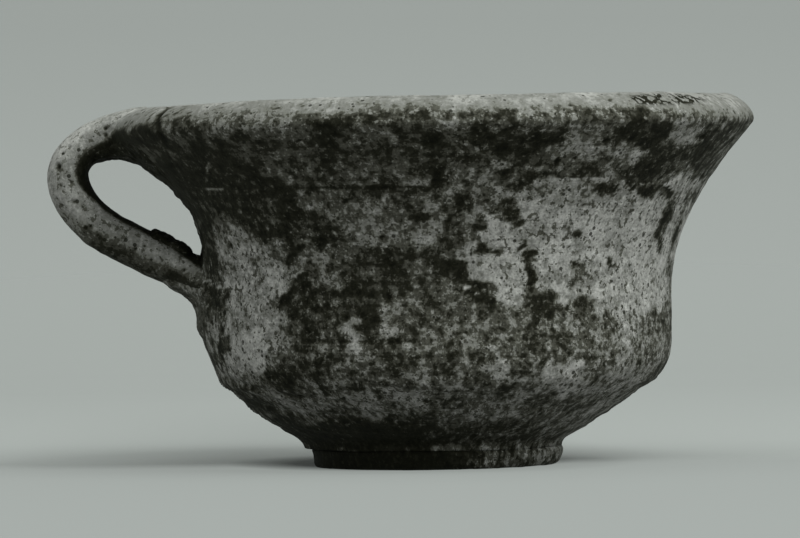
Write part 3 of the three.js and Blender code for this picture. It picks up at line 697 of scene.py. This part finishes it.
# The disc foot. A flat pad of the same clay under the bowl, cut off the wheel with a wire, which left fine bowed lines
# on its underside. Its edge is rounded and slightly uneven.
FOOT_STEPS = 300
FOOT_FLAT = 27
FOOT_TOP = 4.75  # 0.25 mm inside the bowl
WIRE_PITCH = 3.1
foot_outline = chained([[(0, 0), (FOOT_FLAT, 0)]], 1.2)
foot_outline += chained([
    [(FOOT_FLAT, 0), (28, 0.1), (28.7, 0.5), (29.1, 1.4)],
    [(29.1, 1.4), (29.6, 2.4), (29.9, 3.2), (29.5, 4.2)],
], 0.5)[1:]
foot_outline += [(28.6, FOOT_TOP), (20, FOOT_TOP), (0, FOOT_TOP)]
foot = to_object("disc_foot_clay", turned(foot_outline, FOOT_STEPS))
at, facing = places(foot)
foot_row = rows_of(at, foot_outline)
rim = ease(np.hypot(at[:, 0], at[:, 1]), 25, 28)
relief = rim * unevenness(at, (0.22, 9, 1), (0.1, 3, 2))
# At the left the edge is spread out at the bottom and drawn in above.
left_edge = rim * bell(turn_between(azimuth_of(at), 195), 45)
relief += left_edge * (0.5 * (1 - ease(at[:, 2], 0.2, 1.6)) - 0.55 * bell(at[:, 2] - 2.8, 1.2))
underside = (at[:, 2] < 0.05) & (np.hypot(at[:, 0], at[:, 1]) < FOOT_FLAT)
wire = np.sin(np.hypot(at[:, 0] + 46, at[:, 1] - 8) * 2 * math.pi / WIRE_PITCH + lumps(at, 12, 6))
at[:, 2] += underside * (0.09 + 0.08 * wire)
at += facing * (relief * (at[:, 2] > 0.02))[:, None]
at[:, 2] = np.maximum(at[:, 2], 0)
move_to(foot, at)
# Its front edge is darker to the left: partly thicker slip and partly painted shade under the bowl, away from the
# lamps.
foot_front = ease(-at[:, 1], -8, 4)
edge_level = np.interp(at[:, 0], [0, 5, 12, 28], [-0.1, 0.08, 0.3, 0.42]) * foot_front + 0.35 * (1 - foot_front)
foot_mottle = 1 - 0.5 * foot_front * (1 - ease(at[:, 0], 0, 9))
set_wear_and_shade(foot, edge_level + 0.12 * lumps(at, 9, 14) + 0.3 * underside, foot_mottle)
set_layer(foot, "sweep", length_to(foot_outline)[foot_row] * MM)
foot.data.materials.append(thrown_slip)
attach(foot, "root")
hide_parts("disc_foot")


# The strap handle. A pulled strap of clay, rounded oval in section, smeared over the lip, looped out and pressed on the
# belly. It spreads and thins at both ends.
STRAP_WIDTH, STRAP_THICKNESS = 14.5, 9.9
LIP_END_WIDTH, LIP_END_THICKNESS, LIP_END_LENGTH = 31, 5.6, 19
BELLY_END_WIDTH, BELLY_END_THICKNESS, BELLY_END_LENGTH = 34, 7.9, 18
STRAP_AROUND = 88
STRAP_STEPS = 230
SQUARENESS = 2.4  # of its section, where 2 is an oval
limb_up = Vector((-math.cos(math.radians(27)), 0, math.sin(math.radians(27))))
root = Vector((-55.6, 0, HANDLE_ROOT + 0.35))
start = Vector((-64.5, 0, 81.8))
elbow = Vector((-85.95, 0, 68.8))
limb_top = root + 21 * limb_up
strap_line = interpolate_bezier(
    start, start.lerp(Vector((elbow.x, 0, start.z - 3)), 0.53), elbow.lerp(Vector((elbow.x, 0, start.z)), 0.52),
    elbow, 80)
strap_line += interpolate_bezier(
    elbow, elbow.lerp(Vector((elbow.x, 0, limb_top.z)), 0.42), limb_top + 6.3 * limb_up, limb_top, 60)[1:]
strap_line += [limb_top.lerp(root - 5.4 * limb_up, i / 40) for i in range(1, 41)]
strap_line = np.array(strap_line)
strap_gone = length_to(strap_line)
STRAP_LENGTH = strap_gone[-1]


def strap_size(gone):
    """The strap's width and thickness at lengths along it."""
    lip_share = np.clip(1 - gone / LIP_END_LENGTH, 0, 1) ** 2
    belly_share = np.clip(1 - (STRAP_LENGTH - gone) / BELLY_END_LENGTH, 0, 1) ** 2
    width = STRAP_WIDTH + (LIP_END_WIDTH - STRAP_WIDTH) * lip_share + (BELLY_END_WIDTH - STRAP_WIDTH) * belly_share
    thickness = STRAP_THICKNESS + (LIP_END_THICKNESS - STRAP_THICKNESS) * lip_share
    thickness += (BELLY_END_THICKNESS - STRAP_THICKNESS) * belly_share
    thickness -= 0.6 * bell(gone / STRAP_LENGTH - 0.25, 0.13)
    return width, thickness


def strap_frame(gone):
    """The middle line's place, the direction away from the bowl, and the way along, at lengths along the strap."""
    behind, centre, ahead = [
        np.stack([np.interp(gone + step, strap_gone, strap_line[:, i]) for i in range(3)], axis=1)
        for step in (-0.6, 0, 0.6)]
    along = ahead - behind
    along /= np.linalg.norm(along, axis=1)[:, None]
    out = np.cross(np.array((0, 1, 0)), along)
    return centre, out, along


# How the pieces meet. Slip and a wet finger blend one surface into the other, so near the strap both swell a little
# into one soft hollow. These give the distance to the bowl's clay, to the strap, and to both blended.
section = np.array(outline[::3] + [outline[-1]])
section_end = np.roll(section, -1, axis=0)


def bowl_distance(at):
    """Millimetres from the bowl's clay, and less than 0 inside it."""
    azimuth = azimuth_of(at)
    height = at[:, 2] + sag(azimuth, at[:, 2] + sag(azimuth, at[:, 2]))
    radius = np.hypot(at[:, 0], at[:, 1]) + push(azimuth, height)
    nearest = np.full(len(at), 1e9)
    crossings = np.zeros(len(at), int)
    for a, b in zip(section, section_end):
        edge = b - a
        share = np.clip(((radius - a[0]) * edge[0] + (height - a[1]) * edge[1]) / max(edge @ edge, 1e-9), 0, 1)
        nearest = np.minimum(nearest, np.hypot(radius - a[0] - share * edge[0], height - a[1] - share * edge[1]))
        if a[1] != b[1]:
            spans = (a[1] > height) != (b[1] > height)
            crossings += spans & (radius < a[0] + (height - a[1]) / edge[1] * edge[0])
    return np.where(crossings % 2 == 1, -nearest, nearest)


def strap_distance(at):
    """Millimetres from the strap, with the side of it, -1 towards the bowl and 1 away, and the length along it."""
    nearest = np.argmin(((at[:, None, :] - strap_line[None]) ** 2).sum(axis=2), axis=1)
    gone = strap_gone[nearest]
    centre, out, along = strap_frame(gone)
    gone = np.clip(gone + ((at - centre) * along).sum(axis=1), 0, STRAP_LENGTH)
    centre, out, along = strap_frame(gone)
    width, thickness = strap_size(gone)
    offset = at - centre
    away = (offset * out).sum(axis=1)
    full = np.abs(offset[:, 1] / width * 2) ** SQUARENESS + np.abs(away / thickness * 2) ** SQUARENESS
    full **= 1 / SQUARENESS
    distance = np.hypot(offset[:, 1], away) * (1 - 1 / np.maximum(full, 1e-3))
    return np.maximum(distance, np.abs((offset * along).sum(axis=1)) - 1), away / thickness * 2, gone


def blend_size(side, gone):
    """How wide the soft hollow is, widest on the bowl's side at the lip and on the far side at the belly."""
    at_lip = 2.2 + 6.5 * ease(-side, -0.2, 0.7)
    return np.where(gone < STRAP_LENGTH / 2, at_lip, 1.2 + 4.2 * ease(side, -0.7, 0.2))


def joined_distance(at):
    """Millimetres from bowl and strap with the soft hollow between them."""
    a = bowl_distance(at)
    b, side, gone = strap_distance(at)
    size = blend_size(side, gone)
    share = np.clip(size - np.abs(a - b), 0, None) / size
    return np.minimum(a, b) - share * share * size / 4


def swell(distance, size):
    """How far one surface rises towards the other, to meet it halfway."""
    return size / 4 * np.clip(1 - np.maximum(distance, 0) / size, 0, 1) ** 2


clay = bmesh.new()
ring = bmesh.ops.create_circle(clay, cap_ends=False, radius=1, segments=STRAP_AROUND)["verts"]
bmesh.ops.spin(
    clay, geom=ring + clay.edges[:], cent=(0, 0, 0), axis=(0, 0, 1), dvec=(0, 0, 1), angle=0, steps=STRAP_STEPS)
bmesh.ops.holes_fill(clay, edges=[e for e in clay.edges if e.is_boundary], sides=0)
bmesh.ops.recalc_face_normals(clay, faces=clay.faces)
handle = to_object("strap_handle_clay", clay)
at, facing = places(handle)
angle = np.arctan2(at[:, 1], at[:, 0])
handle_gone = at[:, 2] * MM / STRAP_STEPS * STRAP_LENGTH
centre, out, along = strap_frame(handle_gone)
width, thickness = strap_size(handle_gone)
across = np.sign(np.cos(angle)) * np.abs(np.cos(angle)) ** (2 / SQUARENESS) * width / 2
away = np.sign(np.sin(angle)) * np.abs(np.sin(angle)) ** (2 / SQUARENESS) * thickness / 2
at = centre + out * away[:, None]
at[:, 1] -= across
move_to(handle, at)
at, facing = places(handle)
size = blend_size(away / thickness * 2, handle_gone)
near_wall = (handle_gone < 32) | (handle_gone > STRAP_LENGTH - 30)
lift = np.zeros(len(at))
lift[near_wall] = swell(bowl_distance(at[near_wall]), size[near_wall])
relief = unevenness(at, (0.25, 9, 1), (0.16, 3.4, 2), (0.09, 1.7, 4))
# Thumb and finger pressed it thinner inside the upper bend and on the outside near the belly.
relief -= 0.4 * ease(-np.sin(angle), 0.2, 0.9) * bell(handle_gone / STRAP_LENGTH - 0.24, 0.09)
relief -= 0.4 * ease(np.sin(angle), 0.2, 0.9) * bell(handle_gone / STRAP_LENGTH - 0.9, 0.06)
# Small pits on its outer side, and one large one at the bend.
HANDLE_PITS = 70
LARGE_PIT_PLACE, LARGE_PIT_SIZE = (-87.4, -5.5, 71.2), 1.3
picked = rng.choice(np.flatnonzero(np.sin(angle) > -0.3), HANDLE_PITS, replace=False)
large_pit = np.argmin(np.linalg.norm(at - np.array(LARGE_PIT_PLACE), axis=1))
pit_sizes = np.append(rng.uniform(0.5, 0.85, HANDLE_PITS), LARGE_PIT_SIZE)
handle_pit_depth = pitted(at, at[np.append(picked, large_pit)], pit_sizes, steepness=0.7)
at += facing * (relief + lift - handle_pit_depth)[:, None]
# The smeared end dips into the lip.
reach = np.hypot(at[:, 0], at[:, 1])
over_lip = (handle_gone < 20) & (at[:, 2] > 74)
at[:, 2] -= over_lip * np.clip(70 - reach, 0, 3) * 0.7
tuck = np.where(over_lip, np.maximum(reach, 67.4) / reach, 1)
at[:, :2] *= tuck[:, None]
move_to(handle, at)
# The outer face is pale on the upper limb and dark on the lower limb, and the side has a pale streak: partly wear from
# hands and partly painted highlight and painted shade by which way each part faces. The inner face is dark, partly dark
# slip and mostly painted shade, and the pits are painted darker by their depth, a painted shade.
share = np.clip(handle_gone / STRAP_LENGTH, 0, 1)
outer_level = np.interp(share, [0, 0.35, 0.5, 0.6, 1], [0.85, 0.82, 0.44, 0.24, 0.2])
side_level = np.interp(share, [0, 0.2, 0.4, 0.55, 0.7, 0.85, 1], [0.7, 0.68, 0.64, 0.66, 0.6, 0.7, 0.4])
outward = np.degrees(np.arcsin(np.sin(angle)))
turns_out = np.interp(share, [0.45, 0.6], [12, -8])
lip_and_face_tone = side_level + (outer_level - side_level) * ease(outward, turns_out, turns_out + 24)
dark_from = np.interp(share, [0.3, 0.5, 0.75, 0.9], [-20, -60, -60, -42])
dark_slip_and_shade = 1 - ease(outward, dark_from, dark_from + 20)
DARK_SLIP_AND_SHADE = 0.02
value = lip_and_face_tone * (1 - dark_slip_and_shade) + DARK_SLIP_AND_SHADE * dark_slip_and_shade + 0.2 * lumps(at, 7, 14) - PIT_DARKENING * handle_pit_depth
set_wear_and_shade(handle, value, 0.7)
handle.data.materials.append(hand_slip)
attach(handle, "root")
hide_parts("strap_handle")

# The bowl's wall swells towards the strap in the same way.
at, facing = places(bowl)
beside = np.flatnonzero(is_outside & (turn_between(azimuth, HANDLE_AZIMUTH) < 36) & (turned_height > 30))
apart, side, gone = strap_distance(at[beside])
at[beside] += facing[beside] * swell(apart, blend_size(side, gone))[:, None]
move_to(bowl, at)


# The luting clay. Three lumps of soft clay that the potter pushed into the corners between strap and bowl and smeared
# out with a fingertip. Their edges run out to nothing, so they sink into what they lie on.
SMEAR_BACK = 1.6  # the thickness of a patch, most of it inside the pieces under it
PROBE = 0.05  # the step that finds which way a surface slopes


def laid_on(at, proud, turns=6):
    """Moves points until they stand that many millimetres proud of the blended surface."""
    for _ in range(turns):
        here = joined_distance(at)
        slope = np.stack([joined_distance(at + step) - here for step in np.eye(3) * PROBE], axis=1) / PROBE
        steep = np.maximum((slope ** 2).sum(axis=1), 0.2)
        at = at - slope * np.clip((here - proud) / steep, -1.5, 1.5)[:, None]
    return at


def clay_patch(name, start_at, proud_at, around, down):
    """A patch of clay from a flat grid, laid on the joint and given a back that lies inside the pieces under it."""
    clay = bmesh.new()
    bmesh.ops.create_grid(clay, x_segments=around, y_segments=down, size=1)
    patch = to_object(name, clay)
    grid, _ = places(patch)
    u, v = grid[:, 0] * MM, grid[:, 1] * MM
    laid = laid_on(start_at(u, v), proud_at(u, v))
    move_to(patch, laid)
    at, facing = places(patch)
    faces_out = (joined_distance(at + facing * 0.3) - joined_distance(at)).sum() > 0
    clay = bmesh.new()
    clay.from_mesh(patch.data)
    if not faces_out:
        bmesh.ops.reverse_faces(clay, faces=clay.faces[:])
    bmesh.ops.solidify(clay, geom=clay.faces[:], thickness=SMEAR_BACK * MM)
    bmesh.ops.recalc_face_normals(clay, faces=clay.faces)
    clay.to_mesh(patch.data)
    clay.free()
    patch.data.shade_smooth()
    return patch


def edge_fade(u, v, soft=0.35):
    """0 on a patch's edge and 1 in its middle."""
    return ease(1 - np.abs(u), 0, soft) * ease(1 - np.abs(v), 0, soft)


def along_curve(v, points):
    """Radius and height along a line of points, for v from -1 to 1."""
    gone = length_to(points)
    share = (v + 1) / 2 * gone[-1]
    return [np.interp(share, gone, part) for part in np.transpose(points)]


# Each patch follows a line of its own under the strap and lies on the wall at both sides of it.
UNDER_LIP = [(80.2, 70.2), (78.6, 72.1), (76.9, 73), (74.6, 73.2), (71.9, 72.7), (68.2, 70.3), (64.5, 67.4), (62, 65.2)]
UNDER_ROOT = [(64.5, 44), (61, 42.3), (58.4, 40.6), (57, 38), (56.1, 35.5), (55.4, 32), (54.8, 29.5)]
OVER_ROOT = [(67.6, 56.5), (66.4, 55.7), (64.5, 54.7), (61.5, 53.2), (58.9, 51.8), (57.2, 50.9), (55.8, 50.8)]
PAD_HALF_WIDTH = 7.2


def beside_strap(turn, radius, under_line, wall_line):
    """From the line under the strap to the line on the wall, both as radius and height."""
    under = 1 - ease(np.abs(radius * np.sin(turn)), 5.5, 12)
    r, z = [under * u + (1 - under) * w for u, w in zip(under_line, wall_line)]
    return np.stack([r * np.cos(turn), r * np.sin(turn), z], axis=1)


def rim_clay_start(u, v):
    wall_z = 77.5 - 11 * (v + 1) / 2
    wall_r = np.interp(wall_z + 2, [60, 65, 71.5, 76.5, 79.4], [61, 64.5, 68.5, 72.6, 75.5]) + 0.4
    return beside_strap(np.radians(HANDLE_AZIMUTH + 25 * u), 70, along_curve(v, UNDER_LIP), (wall_r, wall_z))


def belly_clay_start(u, v):
    wall_z = 45 - 2.5 * np.abs(u) - 12 * (v + 1) / 2
    return beside_strap(np.radians(HANDLE_AZIMUTH + 26 * u), 56, along_curve(v, UNDER_ROOT), (56, wall_z))


def pad_start(u, v):
    r, z = along_curve(v, OVER_ROOT)
    return np.stack([-r, PAD_HALF_WIDTH * u, z], axis=1)


def pad_proud(u, v):
    return -0.5 + 1.35 * edge_fade(u, v, 0.3) * ease(1 - v, -0.2, 0.6) * ease(v, -1.2, -0.5)


def clay_relief(patch, streak, roughness=1.0):
    """Makes a patch uneven, drawn out by the fingertip as streak says."""
    at, facing = places(patch)
    relief = 0.3 * lumps(at, 5, 21, streak) + roughness * unevenness(at, (0.3, 2.3, 22), (0.2, 1.2, 23))
    at += facing * relief[:, None]
    move_to(patch, at)
    return at


rim_clay = clay_patch("rim_luting_smear", rim_clay_start, lambda u, v: -0.45 + 0.75 * edge_fade(u, v), 110, 34)
at = clay_relief(rim_clay, (1, 2.5, 1), 1.2)
# The smear is near black: partly dark slip and partly painted shade under the lip and the strap.
set_wear_and_shade(rim_clay, 0.03 + 0.2 * lumps(at, 6, 15))
belly_clay = clay_patch("belly_luting_smear", belly_clay_start, lambda u, v: -0.45 + 0.95 * edge_fade(u, v), 100, 34)
at = clay_relief(belly_clay, (1, 2.5, 1))
set_wear_and_shade(belly_clay, placed_wear_and_shade(at) + 0.1 * lumps(at, 6, 16))
pad = clay_patch("crotch_pad_lump", pad_start, pad_proud, 50, 56)
at = clay_relief(pad, (1, 1, 1), 1.4)
# The pad is near black: partly dark slip and partly painted shade under the strap's arch.
set_wear_and_shade(pad, 0.06 + 0.2 * lumps(at, 6, 17))
for patch, node, slot in ((rim_clay, "rim_luting_clay", "dark_clay"), (belly_clay, "belly_luting_clay", "slipped_clay"),
                          (pad, "crotch_clay_pad", "dark_clay")):
    patch.data.materials.append(hand_slip)
    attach(patch, "root")
    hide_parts(node)
